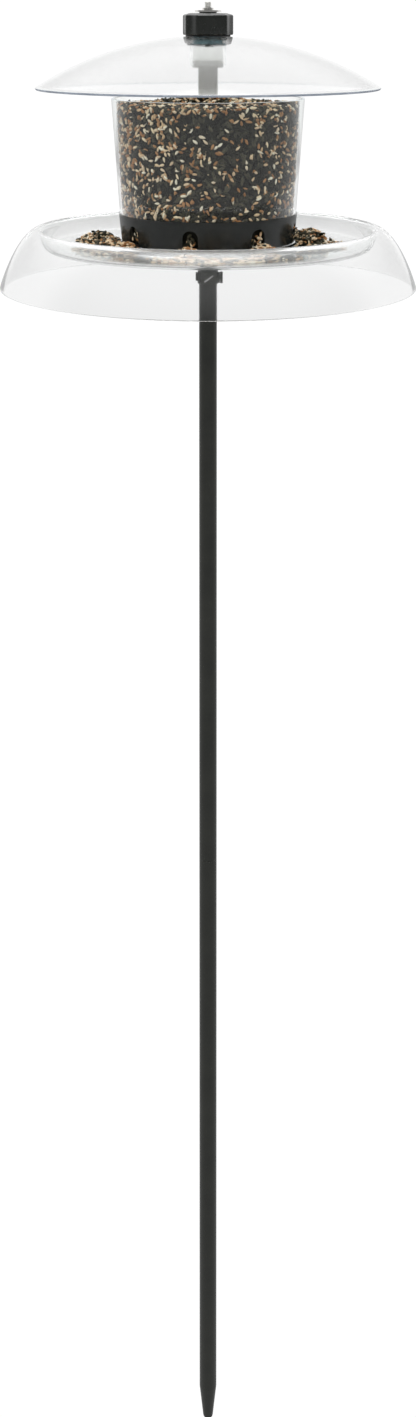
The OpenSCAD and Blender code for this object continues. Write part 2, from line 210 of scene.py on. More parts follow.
def ramp(add, source, stops):
    """A colour ramp over a socket, with stops of (place, colour)."""
    node = add("ShaderNodeValToRGB", {0: source})
    elements = node.color_ramp.elements
    while len(elements) < len(stops):
        elements.new(0.5)
    for element, (place, colour) in zip(elements, stops):
        element.position = place
        element.color = (*colour, 1)
    return node.outputs[0]


def spread(add, source, low, high):
    """A value socket mapped from 0-1 to low-high."""
    return add("ShaderNodeMapRange", {0: source, 3: low, 4: high}).outputs[0]


def maths(add, operation, *values):
    """A value socket worked out from one or two sockets or numbers."""
    return add("ShaderNodeMath", dict(enumerate(values)), operation=operation).outputs[0]


def vector_maths(add, operation, *vectors):
    """The output sockets of one step of vector arithmetic."""
    return add("ShaderNodeVectorMath", dict(enumerate(vectors)), operation=operation).outputs


def noise(add, scale, detail, stretch=(1, 1, 1)):
    """Noise in the object's own space, as a value from 0 to 1."""
    place = add("ShaderNodeTexCoord").outputs["Object"]
    mapped = add("ShaderNodeMapping", {"Vector": place, "Scale": stretch})
    return add("ShaderNodeTexNoise", {"Vector": mapped.outputs[0], "Scale": scale,
                                      "Detail": detail}).outputs["Fac"]


def bump(add, links, shader, height, strength, distance):
    """Raises a shader's surface by a height socket."""
    node = add("ShaderNodeBump", {"Height": height, "Strength": strength, "Distance": distance})
    links.new(node.outputs[0], shader.inputs["Normal"])


def plain_finish(name, dark, light, rough, grain, bump_mm=0.05, metal=0.0, coat=0.0, stretch=(1, 1, 1),
                 gloss=0.5):
    """Opaque finish whose colour and gloss drift a little, with a fine grain."""
    mat, shader, add, links = new_material(name)
    drift = noise(add, grain * 0.12, 3.0)
    fine = noise(add, grain, 6.0, stretch)
    links.new(ramp(add, drift, [(0.3, dark), (0.7, light)]), shader.inputs["Base Color"])
    links.new(spread(add, fine, rough[0], rough[1]), shader.inputs["Roughness"])
    shader.inputs["Metallic"].default_value = metal
    shader.inputs["Specular IOR Level"].default_value = gloss
    shader.inputs["Coat Weight"].default_value = coat
    shader.inputs["Coat Roughness"].default_value = 0.08
    bump(add, links, shader, fine, 0.25, bump_mm * MM)
    return mat


def smooth_step(add, source, start, end, low, high):
    """A value socket mapped smoothly from start-end to low-high."""
    return add("ShaderNodeMapRange", {"Value": source, "From Min": start, "From Max": end, "To Min": low,
                                      "To Max": high}, interpolation_type="SMOOTHSTEP").outputs["Result"]


def painted_bend_light(add, links, shader):
    """Paints light into a clear shell where it turns over at the tray's rim: clouds it white there, in place
    of the light that a thick moulded bend gathers.
    """
    flat = vector_maths(add, "MULTIPLY", add("ShaderNodeTexCoord").outputs["Object"], (1, 1, 0))[0]
    radius = vector_maths(add, "LENGTH", flat)["Value"]
    rise = smooth_step(add, radius, DISH_R - MM, DISH_R + 4 * MM, 0.0, 1.0)
    fall = smooth_step(add, radius, CREST_R, CREST_R + 14 * MM, 1.0, 0.0)
    bend = maths(add, "MULTIPLY", rise, fall)
    links.new(spread(add, bend, 1.0, 0.9), shader.inputs["Transmission Weight"])


def clear_finish(name, tint, rough=0.02, bend_light=False):
    """Clear moulded plastic, tinted by the first wall that a ray meets. Shadow, diffuse and deep rays pass
    straight through, so what is inside is lit."""
    mat, shader, add, links = new_material(name)
    links.new(spread(add, noise(add, 35, 5.0), rough, rough * 2.5), shader.inputs["Roughness"])
    path = add("ShaderNodeLightPath").outputs
    later = maths(add, "GREATER_THAN", path["Ray Depth"], FIRST_WALL)
    links.new(ramp(add, later, [(0.0, tint), (1.0, LATER_TINT)]), shader.inputs["Base Color"])
    shader.inputs["Transmission Weight"].default_value = 1
    shader.inputs["IOR"].default_value = ACRYLIC_IOR
    if bend_light:
        painted_bend_light(add, links, shader)
    soft = maths(add, "MAXIMUM", path["Is Shadow Ray"], path["Is Diffuse Ray"])
    deep = maths(add, "GREATER_THAN", path["Ray Depth"], DEEP)
    passing = add("ShaderNodeBsdfTransparent", {"Color": OPEN_TINT}).outputs[0]
    mix = add("ShaderNodeMixShader", {0: maths(add, "MAXIMUM", soft, deep), 1: shader.outputs[0], 2: passing})
    links.new(mix.outputs[0], mat.node_tree.nodes["Material Output"].inputs["Surface"])
    return mat


def painted_edge_finish(name, dark, light):
    """Cut edge of a clear shell: satin and half clear, with its colour painted: light for the glow that the
    shell guides to it, dark for the shade where it guides light away.
    """
    mat, shader, add, links = new_material(name)
    links.new(ramp(add, noise(add, 60, 4.0), [(0.35, dark), (0.65, light)]), shader.inputs["Base Color"])
    links.new(spread(add, noise(add, 400, 3.0), 0.25, 0.45), shader.inputs["Roughness"])
    shader.inputs["Transmission Weight"].default_value = 0.35
    return mat


def seed_finish(name, tones, rough, streak=0.35):
    """Seed husk: each seed has its own tone, with lengthwise streaks."""
    mat, shader, add, links = new_material(name)
    tone = add("ShaderNodeAttribute", attribute_name="tone").outputs["Fac"]
    across = add("ShaderNodeAttribute", attribute_name="across").outputs["Fac"]
    base = ramp(add, tone, [(i / (len(tones) - 1), c) for i, c in enumerate(tones)])
    lines = spread(add, maths(add, "SINE", maths(add, "MULTIPLY", across, 40.0)), 1 - streak, 1.0)
    mottled = maths(add, "MULTIPLY", lines, spread(add, noise(add, 900, 3.0), 0.75, 1.2))
    scale = add("ShaderNodeVectorMath", {0: base, "Scale": mottled}, operation="SCALE")
    links.new(scale.outputs[0], shader.inputs["Base Color"])
    shader.inputs["Roughness"].default_value = rough
    shader.inputs["Specular IOR Level"].default_value = 0.05
    bump(add, links, shader, mottled, 0.3, 0.1 * MM)
    return mat


CLEAR_SHELL = clear_finish("clear_shell", (0.8, 0.803, 0.803))
# the tray's rim bend is clouded white: painted light
CLEAR_TRAY = clear_finish("clear_tray", (0.865, 0.868, 0.868), bend_light=True)
CLEAR_HOPPER = clear_finish("clear_hopper", (0.985, 0.99, 0.985), rough=0.012)
# painted glow: the hopper's cut top edge, painted bright
PAINTED_GLOW_EDGE = painted_edge_finish("painted_glow_edge", (0.72, 0.76, 0.82), (0.86, 0.9, 0.95))
# painted shade: the roof's cut rim, painted dark
PAINTED_SHADE_EDGE = painted_edge_finish("painted_shade_edge", (0.17, 0.2, 0.27), (0.3, 0.34, 0.42))
BLACK_GLOSS = plain_finish("black_gloss", (0.0065, 0.0076, 0.0068), (0.0125, 0.014, 0.0128), (0.16, 0.3), 300)
KNOB_BLACK = plain_finish("knob_black", (0.01, 0.0115, 0.01), (0.017, 0.019, 0.017), (0.2, 0.32), 300)
BLACK_MATT = plain_finish("black_matt", (0.012, 0.012, 0.012), (0.022, 0.022, 0.022), (0.45, 0.65), 500)
RUBBER = plain_finish("rubber", (0.01, 0.01, 0.01), (0.018, 0.018, 0.018), (0.6, 0.8), 600)
POLE = plain_finish("pole_enamel", (0.008, 0.0095, 0.0065), (0.014, 0.0155, 0.0112), (0.28, 0.45), 400, 0.08,
                    coat=0.15)
CLAMP = plain_finish("clamp_black", (0.02, 0.023, 0.017), (0.035, 0.038, 0.03), (0.3, 0.5), 500)
STEEL = plain_finish("bright_steel", (0.55, 0.55, 0.54), (0.75, 0.75, 0.74), (0.16, 0.34), 700, 0.02,
                     metal=1.0, stretch=(1, 1, 6))
ZINC = plain_finish("zinc_rod", (0.52, 0.52, 0.5), (0.72, 0.72, 0.7), (0.25, 0.45), 700, 0.03, metal=1.0)
GREY_TUBE = plain_finish("grey_tube", (0.1, 0.101, 0.077), (0.13, 0.131, 0.102), (0.35, 0.5), 500, 0.03,
                         stretch=(1, 1, 0.1), gloss=0.2)
TEE_STEEL = plain_finish("tee_steel", (0.8, 0.79, 0.76), (0.95, 0.94, 0.9), (0.2, 0.38), 700, 0.02, metal=1.0)
SEAL = plain_finish("dark_foam", (0.17, 0.31, 0.355), (0.25, 0.44, 0.5), (0.6, 0.8), 600)
NYLON = plain_finish("pale_nylon", (0.6, 0.6, 0.56), (0.72, 0.72, 0.68), (0.35, 0.5), 300)
SEED_DARK = seed_finish("seed_dark", [(0.011, 0.011, 0.007), (0.034, 0.033, 0.021), (0.115, 0.104, 0.07)],
                        0.4)
SEED_PALE = seed_finish("seed_pale", [(0.95, 0.78, 0.54), (0.7, 0.46, 0.26), (1.0, 0.93, 0.76)], 0.45, 0.15)
SEED_TAN = seed_finish("seed_tan", [(0.34, 0.16, 0.065), (0.52, 0.28, 0.13), (0.42, 0.19, 0.075)], 0.5, 0.25)
# dark for dark seed, and painted shade between the seeds
SEED_BULK_AND_SHADE = plain_finish("seed_bulk_and_shade", (0.012, 0.012, 0.009), (0.03, 0.028, 0.02), (0.6, 0.8), 260, 1.2,
                         gloss=0.05)

NODE_FINISH = {
    "pole_lower": POLE, "pole_upper": POLE, "pole_plug": BLACK_MATT, "clamp_collar": CLAMP,
    "collar_liner": STEEL, "clamp_pad": NYLON, "clamp_screw": CLAMP, "pole_socket": BLACK_MATT,
    "socket_gasket": RUBBER, "port_base": BLACK_GLOSS, "seed_deflector": BLACK_MATT,
    "center_tube": GREY_TUBE, "bottom_nut": STEEL, "bottom_washer": STEEL, "tube_collar": GREY_TUBE,
    "neck_bush": NYLON, "neck_seal": SEAL, "knob_washer": RUBBER, "knob_tee_nut": TEE_STEEL,
}


def finish_nodes():
    """Gives each carried-over CAD node its material, smooth shading and a fine bevel."""
    for name, material in NODE_FINISH.items():
        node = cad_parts[name]
        node.data.materials.clear()
        node.data.materials.append(material)
        for face in node.data.polygons:
            face.use_smooth = True
            face.material_index = 0
        bevel = node.modifiers.new("fine_edges", "BEVEL")
        bevel.width = 0.25 * MM
        bevel.segments = 2
        bevel.limit_method = "ANGLE"
        bevel.angle_limit = math.radians(40)
        bevel.harden_normals = True


# ---- Clear shells ----


def make_tray():
    """Dish round a raised deck, with a rim that turns over into the wide sloping skirt."""
    edge = 0.05 * MM
    skirt_r = TRAY_HIGH[0] - edge
    low, rim_z = TRAY_LOW[2] + edge, DECK_Z + 12.3 * MM
    wall, hole_r = 3 * MM, 4 * MM
    side_r, side_z = 151 * MM, rim_z - 4.6 * MM  # where the dish's side starts to round over
    rim = [(DECK_R + MM, DISH_Z), (DISH_R, DISH_Z)]
    rim += bezier([(DISH_R, DISH_Z), (DISH_R + 4 * MM, DISH_Z), (side_r - 0.8 * MM, rim_z - 10 * MM),
                   (side_r, side_z)], 12)
    rim += bezier([(side_r, side_z), (side_r + 0.3 * MM, rim_z - 2.2 * MM), (CREST_R - 2.6 * MM, rim_z),
                   (CREST_R, rim_z)], 10)
    rim += bezier([(CREST_R, rim_z), (CREST_R + 12 * MM, rim_z), (skirt_r - 9 * MM, DECK_Z - 12 * MM),
                   (skirt_r, low)], 44)
    under = [(DECK_R - 1.5 * MM, DISH_Z - wall), (DECK_R - 2.5 * MM, DECK_Z - wall), (hole_r, DECK_Z - wall)]
    outline = [(hole_r, DECK_Z), (DECK_R, DECK_Z)] + thick(rim, wall) + under
    verts, faces = lathe(rounded(outline, 0.8 * MM), ROUND)
    add_object("tray_shell", verts, faces, "head", CLEAR_TRAY, "tray", 60)


def make_hopper():
    """Clear sleeve that widens upwards, with its cut top edge painted bright as a glow of guided light."""
    top_r, top_z = HOPPER_HIGH[0], HOPPER_HIGH[2]
    outline = [(HOPPER_FOOT_R, SEAT_Z), (top_r, top_z), (top_r - HOPPER_WALL, top_z),
               (HOPPER_FOOT_R - HOPPER_WALL, SEAT_Z)]
    verts, faces = lathe(rounded(outline, 0.7 * MM), ROUND)
    sleeve = add_object("hopper_sleeve", verts, faces, "head", CLEAR_HOPPER, "hopper", 60)
    # the cut top edge gets a painted glow
    finish_edge(sleeve, (0, 1), top_r - HOPPER_WALL, PAINTED_GLOW_EDGE)


# ---- Seed ----

GRAIN_STATIONS = ((-0.38, 0.44), (-0.13, 0.88), (0.14, 1.0), (0.37, 0.66))  # along, half width
GRAIN_SIDES = 6


def grain_shape():
    """One seed of unit size: its vertices, its triangles, and how far round each vertex is."""
    verts, turn = [(-0.5, 0, 0)], [0.0]
    for x, w in GRAIN_STATIONS:
        for k in range(GRAIN_SIDES):
            a = 2 * math.pi * k / GRAIN_SIDES
            verts.append((x, 0.5 * w * math.cos(a), 0.5 * w * math.sin(a)))
            turn.append(k / GRAIN_SIDES)
    verts.append((0.5, 0, 0))
    turn.append(0.0)
    last = len(verts) - 1
    tris = []
    for k in range(GRAIN_SIDES):
        m = (k + 1) % GRAIN_SIDES
        tris.append((0, 1 + m, 1 + k))
        for i in range(len(GRAIN_STATIONS) - 1):
            a, b = 1 + i * GRAIN_SIDES, 1 + (i + 1) * GRAIN_SIDES
            tris += [(a + k, a + m, b + m), (a + k, b + m, b + k)]
        end = 1 + (len(GRAIN_STATIONS) - 1) * GRAIN_SIDES
        tris.append((end + k, end + m, last))
    return np.array(verts), np.array(tris), np.array(turn)


GRAIN_VERTS, GRAIN_TRIS, GRAIN_TURN = grain_shape()
# kind: (length, width, thickness) of a seed in metres, and its material
GRAINS = {
    "dark": ((0.0072, 0.0034, 0.0026), SEED_DARK),
    "pale": ((0.0057, 0.0026, 0.0020), SEED_PALE),
    "tan": ((0.0056, 0.0027, 0.0020), SEED_TAN),
}
MESH_SEEDS = 4000  # most seeds in one mesh
WALL_SEEDS, TOP_SEEDS = 7000, 2300  # at the hopper's wall, and heaped on top
PORT_SEEDS, FRONT_SEEDS = 16, 190  # tried in each port, and loose on the front of the dish
REST_GAP = 0.05 * MM  # between a seed and the dish
UP = np.array([0, 0, 1])


class Seeds:
    """Collects seeds by kind, and makes each kind's meshes for a group."""

    def __init__(self, seed):
        self.rng = np.random.default_rng(seed)
        self.placed = {kind: [] for kind in GRAINS}

    def pick(self, shares):
        """A random kind, by the shares of dark, pale and tan seed."""
        return self.rng.choice(list(GRAINS), size=1, p=shares)[0]

    def turned(self, normal, tilt):
        """A turn matrix whose third column leans off the normal by about tilt, with a random long axis."""
        rng = self.rng
        z = np.asarray(normal, float) + rng.normal(0, tilt, 3)
        z /= np.linalg.norm(z)
        x = np.cross(z, rng.normal(0, 1, 3))
        x /= np.linalg.norm(x)
        return np.stack([x, np.cross(z, x), z], axis=1)

    def size(self, kind):
        """A seed's length, width and thickness, each a little off its kind's."""
        return np.array(GRAINS[kind][0]) * self.rng.normal(1, 0.11, 3).clip(0.72, 1.28)

    def reach(self, turn, size, way):
        """How far a seed reaches from its middle along a direction."""
        return 0.5 * float(np.linalg.norm(size * (turn.T @ way)))

    def add(self, kind, place, turn, size):
        """Keeps a seed for its kind's mesh."""
        self.placed[kind].append((place, turn, size))

    def build(self, group):
        """Makes the meshes, each with no more than MESH_SEEDS seeds."""
        for kind, seeds in self.placed.items():
            for first in range(0, len(seeds), MESH_SEEDS):
                name = f"{group}_{kind}" + (f"_{first // MESH_SEEDS + 1}" if first else "")
                self.make_mesh(name, kind, seeds[first:first + MESH_SEEDS])

    def make_mesh(self, name, kind, seeds):
        """One mesh of seeds, each vertex with its seed's tone and its own place round the seed."""
        place, turn, size = (np.array(values) for values in zip(*seeds))
        n, k = len(seeds), len(GRAIN_VERTS)
        verts = np.einsum("nij,nkj->nki", turn, GRAIN_VERTS[None] * size[:, None]) + place[:, None]
        tris = GRAIN_TRIS[None] + (np.arange(n) * k)[:, None, None]
        mesh = bpy.data.meshes.new(name)
        mesh.from_pydata(verts.reshape(-1, 3), [], tris.reshape(-1, 3))
        mesh.shade_smooth()
        tones, across = np.repeat(self.rng.random(n), k), np.tile(GRAIN_TURN, n)
        for attribute, values in (("tone", tones), ("across", across)):
            mesh.attributes.new(attribute, "FLOAT", "POINT").data.foreach_set("value", values)
        add_piece(name, mesh, "head", GRAINS[kind][1])


def outward(angle):
    """Unit vector at an angle from the front (-Y) towards +X."""
    return np.array([math.sin(angle), -math.cos(angle), 0.0])


def inner_radius(z):
    """Inside radius of the hopper at a height."""
    t = (z - SEAT_Z) / (HOPPER_HIGH[2] - SEAT_Z)
    return HOPPER_FOOT_R + (HOPPER_HIGH[0] - HOPPER_FOOT_R) * t - HOPPER_WALL


def heap_top(r):
    """Height of the seed in the hopper at a distance from the axis."""
    wall, peak_r = inner_radius(SEED_WALL_TOP), 9 * MM
    t = min(max((wall - r) / (wall - peak_r), 0), 1)
    return SEED_WALL_TOP + HEAP_RISE * t * t


def light_share(a, z):
    """Share of pale and tan seed at the hopper's wall: patchy, with more at the sides, most on the left."""
    ripple = math.sin(3 * a + 189 * z) + math.sin(5 * a - 153 * z + 1.3) + math.sin(11 * a + 450 * z)
    side = math.sin(a)
    return min(max(0.19 + 0.03 * abs(side) + 0.17 * max(-side, 0) + 0.04 * ripple, 0.06), 0.6)


def line_wall(seeds):
    """Seed lying against the clear wall."""
    rng = seeds.rng
    for _ in range(WALL_SEEDS):
        a = rng.uniform(-math.pi, math.pi)
        z = rng.uniform(DECK_Z + 24 * MM, SEED_WALL_TOP)
        kind = "dark" if rng.random() > light_share(a, z) else ("pale" if rng.random() < 0.6 else "tan")
        way = outward(a)
        turn, size = seeds.turned(way, 0.16), seeds.size(kind)
        deep = rng.uniform(0.2, 4.2 if kind == "dark" else 1.6) * MM
        r = inner_radius(z) - seeds.reach(turn, size, way) - deep
        z = min(z, SEED_WALL_TOP - seeds.reach(turn, size, UP) * 0.5)
        seeds.add(kind, way * r + (0, 0, z), turn, size)


def heap_top_seed(seeds):
    """Seed heaped on top, round the centre tube."""
    rng = seeds.rng
    least_r, most_r = 11 * MM, inner_radius(SEED_WALL_TOP) - 2.5 * MM
    for _ in range(TOP_SEEDS):
        a = rng.uniform(-math.pi, math.pi)
        r = math.sqrt(rng.uniform(least_r**2, most_r**2))
        kind = seeds.pick((0.42, 0.38, 0.2))
        turn, size = seeds.turned(UP, 0.3), seeds.size(kind)
        z = heap_top(r) - rng.uniform(-0.6, 2.2) * MM
        seeds.add(kind, outward(a) * r + (0, 0, z), turn, size)


def fill_hopper():
    """Separate seeds at the hopper's wall and on top."""
    seeds = Seeds(11)
    line_wall(seeds)
    heap_top_seed(seeds)
    seeds.build("hopper_seed")


def make_core():
    """Bulk of the seed behind what shows at the wall and on top, dark as dark seed, with painted shade for
    the gaps between seeds.
    """
    deep, tube_r, foot_out, foot_in = 4.4 * MM, 9.4 * MM, 74.2 * MM, 72.6 * MM
    cone_r, cone_top = 12.6 * MM, DECK_Z + 33 * MM
    top = SEED_WALL_TOP - 3.5 * MM
    top_r = inner_radius(top) - deep
    outline = [(foot_out, PLATE_TOP), (inner_radius(SEAT_Z) - deep, SEAT_Z + 2 * MM), (top_r, top)]
    steps = 8
    for i in range(1, steps + 1):
        r = top_r + (tube_r - top_r) * i / steps
        outline.append((r, heap_top(r) - 3.2 * MM))
    outline += [(tube_r, cone_top), (cone_r, cone_top), (foot_in, PLATE_TOP)]
    verts, faces = lathe(outline, 96)
    add_object("seed_core", verts, faces, "head", SEED_BULK_AND_SHADE, "seed_fill")


# Heaps on the dish: angle from the front towards +X, distance out, foot radius, height (degrees and mm)
HEAPS = (
    (-101, 104, 20, 10), (-82, 106, 19, 9.5), (-62, 99, 17, 10.5), (-54, 89, 12, 9), (-11.3, 86, 12, 8.5),
    (33.7, 88, 13.5, 10), (78.7, 94, 17, 17), (100, 95, 14, 11), (123.7, 92, 14, 10), (168.7, 90, 13, 9),
    (-146.3, 92, 14, 10), (88, 114, 14, 2.6),
)
SMALL_HEAP = 13.9  # a foot radius below this marks a heap with more pale seed
SEEDS_PER_MM2 = 0.1575


def ring_radius(z):
    """Outside radius of the port ring at a height, or of the deck below it."""
    if z < DECK_Z:
        return 82 * MM
    foot, top = 79.4 * MM, 82.2 * MM
    return foot + (top - foot) * min((z - DECK_Z) / (BASE_HIGH[2] - DECK_Z), 1)


def spill_heap(seeds, angle, out, foot, high):
    """A domed heap of seeds on the dish, clear of the port ring and of the dish's side."""
    rng = seeds.rng
    mid = outward(math.radians(angle)) * out * MM
    ball = (foot**2 + high**2) / (2 * high)  # radius of the ball that the dome is cut from
    light = 0.88 if foot < SMALL_HEAP else 0.68
    for _ in range(int(SEEDS_PER_MM2 * math.pi * (foot**2 + high**2))):
        a, r = rng.uniform(0, 2 * math.pi), foot * math.sqrt(rng.random())
        dome = (high - ball + math.sqrt(max(ball**2 - r * r, 0))) * MM
        kind = seeds.pick((1 - light, light * 0.68, light * 0.32))
        turn, size = seeds.turned(UP, 0.3), seeds.size(kind)
        lift = seeds.reach(turn, size, UP)
        z = DISH_Z + max(dome - rng.uniform(0.0, 2.0) * MM - lift, 0) + lift + REST_GAP
        x, y = mid[0] + r * math.cos(a) * MM, mid[1] + r * math.sin(a) * MM
        far = math.hypot(x, y)
        side = seeds.reach(turn, size, np.array([x, y, 0]) / far)
        if ring_radius(z) + side + 0.3 * MM <= far <= DISH_R - 7 * MM - side:
            seeds.add(kind, np.array([x, y, z]), turn, size)


def fill_port(seeds, face):
    """Seed standing in a port's arch."""
    rng = seeds.rng
    arch_r, arch_z = 5.2 * MM, 11 * MM
    for _ in range(PORT_SEEDS):
        kind = seeds.pick((0.5, 0.32, 0.18))
        turn, size = seeds.turned(outward(face), 0.5), seeds.size(kind)
        across, high = rng.uniform(-5, 5) * MM, 4.6 * MM + 9.5 * MM * rng.random() ** 1.5
        if math.hypot(across, max(high - arch_z, 0)) > arch_r:
            continue
        place = outward(face) * rng.uniform(75, 79) * MM + outward(face + math.pi / 2) * across
        seeds.add(kind, place + (0, 0, DECK_Z + high), turn, size)


def scatter_front(seeds):
    """Loose seed on the front of the dish, and one dark seed lying across, close in front of the deck."""
    rng = seeds.rng
    for _ in range(FRONT_SEEDS):
        way = outward(math.radians(rng.normal(2, 15)))
        kind = seeds.pick((0.08, 0.8, 0.12))
        turn, size = seeds.turned(UP, 0.12), seeds.size(kind)
        lift = seeds.reach(turn, size, UP)
        seeds.add(kind, way * rng.uniform(86, 135) * MM + (0, 0, DISH_Z + lift + REST_GAP), turn, size)
    way = outward(math.radians(1.5))
    turn = np.stack([np.cross(UP, way), way, UP], axis=1)
    seeds.add("dark", way * 86.5 * MM + (0, 0, DISH_Z + 1.6 * MM), turn, np.array([12, 5, 3]) * MM)


def fill_dish():
    """Separate seeds on the dish and in the ports."""
    seeds = Seeds(23)
    for heap in HEAPS:
        spill_heap(seeds, *heap)
    for i in range(PORTS):
        fill_port(seeds, math.radians(FIRST_PORT + 360 / PORTS * i))
    scatter_front(seeds)
    seeds.build("dish_seed")


def make_heap_cores():
    """Low mounds under the spilled seeds, painted dark as the shade in the gaps between them and the dark
    seed among them.
    """
    rings, sides, least_r = 5, 24, 83 * MM
    verts, faces = [], []
    for angle, out, foot, high in HEAPS:
        mid = Vector(outward(math.radians(angle)) * out * MM)
        foot, high = (foot - 2.5) * MM, (high - 2.4) * MM
        first = len(verts)
        for i in range(rings + 1):
            r = foot * (1 - i / rings)
            h = high * (1 - (r / foot) ** 2)
            for k in range(sides if i < rings else 1):
                a = 2 * math.pi * k / sides
                p = mid + Vector((r * math.cos(a), r * math.sin(a), 0))
                if p.length < least_r:
                    p = p.normalized() * least_r
                verts.append((p.x, p.y, DISH_Z + 0.1 * MM + h))
        for i in range(rings):
            low, up = first + i * sides, first + (i + 1) * sides
            for k in range(sides):
                m = (k + 1) % sides
                closing = (up,) if i == rings - 1 else (up + m, up + k)
                faces.append((low + k, low + m, *closing))
        faces.append(tuple(range(first, first + sides))[::-1])
    add_object("dish_seed_core", verts, faces, "head", SEED_BULK_AND_SHADE, "tray_seed")


# ---- Roof, rod and knob ----


def make_roof():
    """Shallow clear dome with a moulded neck under its middle, and its cut rim painted dark as shade."""
    dome_r, wall = 290 * MM, 2.5 * MM
    roof_r, top_z = ROOF_HIGH[0], DECK_Z + 188 * MM
    neck_r, neck_in, neck_low = 16.5 * MM, 14.5 * MM, DECK_Z + 161.4 * MM
    pocket_r = neck_in - MM
    web_z, web_top = BUSH_HIGH[2], BUSH_HIGH[2] + 2.2 * MM
    rod_hole = ROD_HIGH[0] + 0.35 * MM
    mid_z = top_z - dome_r + 0.9 * MM
    seat_r = math.sqrt(dome_r**2 - (top_z - mid_z) ** 2)
    inner = dome_r - wall
    rim_a = math.acos(roof_r / dome_r)

    def arc(r, r_from, r_to, n=40):
        a, b = math.acos(r_from / r), math.acos(r_to / r)
        turns = [a + (b - a) * i / n for i in range(n + 1)]
        return [(r * math.cos(t), mid_z + r * math.sin(t)) for t in turns]

    outline = [(rod_hole, top_z)] + arc(dome_r, seat_r, roof_r - 0.05 * MM)
    outline += arc(inner, inner * math.cos(rim_a), neck_r)
    outline += [(neck_r, neck_low), (neck_in, neck_low), (neck_in, web_z), (rod_hole, web_z),
                (rod_hole, web_top), (pocket_r, web_top), (pocket_r, top_z - wall), (rod_hole, top_z - wall)]
    verts, faces = lathe(rounded(outline, 0.6 * MM), ROUND)
    dome = add_object("roof_dome", verts, faces, "roof", CLEAR_SHELL, "roof", 60)
    # the cut rim gets painted shade
    finish_edge(dome, (math.sin(rim_a), -math.cos(rim_a)), roof_r - 4 * MM, PAINTED_SHADE_EDGE)


def make_rod():
    """Tie rod with a 1/4-20 thread along its whole length."""
    pitch, sides, per_turn = 1.27 * MM, 20, 5
    crest, root = ROD_HIGH[0] - 0.01 * MM, ROD_HIGH[0] - 0.55 * MM
    low, high = ROD_LOW[2], ROD_HIGH[2]
    point, point_share = 0.8 * MM, 0.55  # each end narrows to this share of the radius over this length
    rows = int((high - low) / pitch * per_turn)
    verts, faces = [], []
    for i in range(rows + 1):
        z = low + (high - low) * i / rows
        end = min(1.0, (high - z) / point + point_share, (z - low) / point + point_share)
        for k in range(sides):
            a = 2 * math.pi * k / sides
            phase = ((z - low) / pitch - k / sides) % 1
            r = (root + (crest - root) * (1 - abs(2 * phase - 1))) * end
            verts.append((r * math.cos(a), r * math.sin(a), z))
    for i in range(rows):
        for k in range(sides):
            m = (k + 1) % sides
            faces.append((i * sides + k, i * sides + m, (i + 1) * sides + m, (i + 1) * sides + k))
    faces += [tuple(range(sides))[::-1], tuple(rows * sides + k for k in range(sides))]
    add_object("threaded_rod", verts, faces, "head", ZINC, "tie_rod", 80)


def make_knob():
    """Black knob with ten broad flutes, narrow rounded ridges between them and a sloping shoulder."""
    low, side_top, top = KNOB_LOW[2], DECK_Z + 207 * MM, DECK_Z + 209.2 * MM
    outer, bore, neck = KNOB_HIGH[0], 5.42 * MM, 8 * MM
    flutes, phase, depth = 10, math.radians(11), 1.9 * MM
    soft = 0.22  # how rounded the ridges are
    rows = [(bore, low), (outer - 1.6 * MM, low), (outer - 0.6 * MM, low + 0.25 * MM),
            (outer - 0.1 * MM, low + MM), (outer, low + 2.2 * MM)]
    rows += [(outer, low + (side_top - low) * t) for t in (0.3, 0.5, 0.7, 0.86, 0.95)]
    rows += [(outer - 0.15 * MM, side_top - 0.1 * MM), (outer - 0.7 * MM, side_top + 0.5 * MM),
             (outer - 2 * MM, side_top + 1.0 * MM), (outer - 6 * MM, top - 0.1 * MM), (outer - 7 * MM, top),
             (neck, top), (neck, KNOB_HIGH[2]), (bore, KNOB_HIGH[2])]
    rows = rounded(rows, 0.25 * MM, 2)
    sides, n = 320, len(rows)
    verts, faces = [], []
    for j in range(sides):
        a = 2 * math.pi * j / sides
        x, y, _ = outward(a)
        hollow = math.sqrt(math.sin(flutes * (a - phase) / 2) ** 2 + soft**2) - soft
        for r, z in rows:
            cut = depth * hollow * min(max((r - 0.6 * outer) / (0.3 * outer), 0), 1)
            verts.append(((r - cut) * x, (r - cut) * y, z))
    for j in range(sides):
        k = (j + 1) % sides
        faces += [(j * n + i, k * n + i, k * n + (i + 1) % n, j * n + (i + 1) % n) for i in range(n)]
    add_object("fluted_knob", verts, faces, "knob", KNOB_BLACK, "roof_knob", 50)


make_tray()
make_hopper()
make_roof()
make_rod()
make_knob()
make_core()
make_heap_cores()
fill_hopper()
fill_dish()
finish_nodes()


# ---- Stage, light and camera ----

SEEN_WHITE = 1.04  # background as the camera sees it, straight or through clear plastic
SOFT_TOP, SOFT_LEVEL, FLOOR_BOUNCE = 1.1, 0.75, 0.5  # soft light that reaches matt surfaces
DIM_FRONT, BRIGHT_BACK = 0.05, 1.0  # surroundings as glossy surfaces mirror them, before and behind
FLOOR_MIRRORED = 0.5  # the floor as they mirror it
STRIPS = ((-62, 8.0), (64, 3.4))  # mirrored side strips: degrees from the front, brightness
BOUNCES = 32  # clear shells inside one another need more than Blender's own limits
LAMPS = (("key", (-1.9, -1.5, 2.4), 24), ("fill", (2.1, -0.9, 2.4), 14),
         ("back_left", (-1.4, 1.9, 2.4), 12), ("back_right", (1.4, 1.9, 2.4), 12))
LAMP_AIM, LAMP_SIZE = (0, 0, 1.2), 1.6


